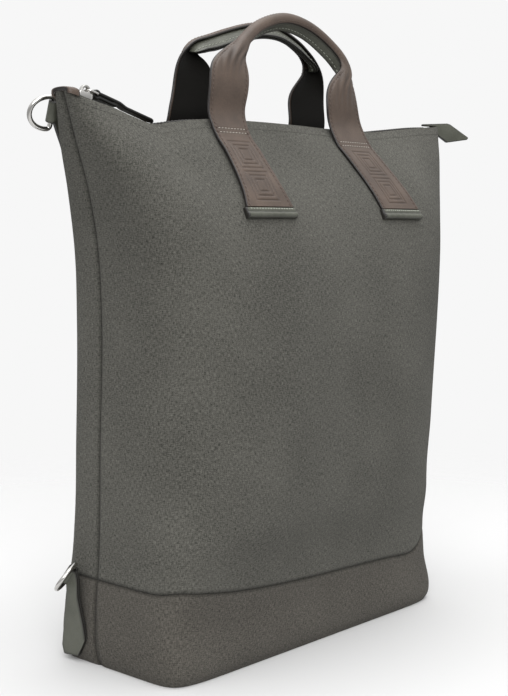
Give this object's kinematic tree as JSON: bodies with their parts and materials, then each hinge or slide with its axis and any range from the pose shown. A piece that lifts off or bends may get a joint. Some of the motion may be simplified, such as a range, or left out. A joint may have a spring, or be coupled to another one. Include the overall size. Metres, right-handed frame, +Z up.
{
  "type": "convertible tote backpack",
  "caption": "Soft tote-shaped backpack with a sagging zipped mouth, folded leather grip handles, leather tabs with D-rings and a lower cloth band.",
  "frame": {"origin": "centre of the bag's width on the underside of its base, level with the floor; the base runs from 57 mm in front of the origin to 63 mm behind it", "axes": "+Z up, -Y towards the front of the bag with the handles' outer faces, +X to the right seen from the front"},
  "size_m": [0.4529, 0.1594, 0.4742],
  "materials": {
    "canvas": "grey-olive woven cloth",
    "band_cloth": "warm grey woven cloth",
    "zip_tape": "dark woven tape",
    "zip_teeth": "dark coil",
    "lining": "black woven lining",
    "brown_leather": "matt brown leather",
    "green_leather": "green-grey leather with dark painted edges",
    "dark_leather": "dark leather",
    "chrome": "polished"
  },
  "bodies": {
    "bag": {"front_panel": "canvas", "back_panel": "canvas", "band_front": "band_cloth", "band_back": "band_cloth", "base_panel": "band_cloth", "zip_tape_front": "zip_tape", "zip_tape_back": "zip_tape", "zip_teeth": "zip_teeth", "zip_slider": "chrome", "zip_link": "chrome", "zip_pull": "dark_leather", "zip_end_strip": "brown_leather", "zip_end_tab": "green_leather", "handle_front": "brown_leather", "handle_front_lining_left": "lining", "handle_front_lining_right": "lining", "handle_front_grip": "green_leather", "foot_cap_front_left": "green_leather", "foot_cap_front_right": "green_leather", "handle_back": "brown_leather", "handle_back_lining_left": "lining", "handle_back_lining_right": "lining", "handle_back_grip": "green_leather", "foot_cap_back_left": "green_leather", "foot_cap_back_right": "green_leather", "top_left_tab": "green_leather", "low_left_tab": "green_leather", "top_right_tab": "green_leather", "low_right_tab": "green_leather"},
    "top_left_ring_body": {"top_left_ring": "chrome"},
    "low_left_ring_body": {"low_left_ring": "chrome"},
    "top_right_ring_body": {"top_right_ring": "chrome"},
    "low_right_ring_body": {"low_right_ring": "chrome"}
  },
  "joints": [
    {"name": "top_left_ring_swing", "type": "hinge", "parent": "bag", "child": "top_left_ring_body", "pos_m": [-0.1948, 0.0115, 0.3895], "axis": [-0.0699, -0.3893, 0.9184], "range_deg": [-110, 50]},
    {"name": "low_left_ring_swing", "type": "hinge", "parent": "bag", "child": "low_left_ring_body", "pos_m": [-0.1608, 0.042, 0.0645], "axis": [0, -0.65, 0.76], "range_deg": [-120, 26]},
    {"name": "top_right_ring_swing", "type": "hinge", "parent": "bag", "child": "top_right_ring_body", "pos_m": [0.1948, 0.0141, 0.3895], "axis": [0.0699, -0.3893, 0.9184], "range_deg": [-54, 110]},
    {"name": "low_right_ring_swing", "type": "hinge", "parent": "bag", "child": "low_right_ring_body", "pos_m": [0.1608, 0.042, 0.0645], "axis": [0, -0.65, 0.76], "range_deg": [-24, 120]}
  ]
}
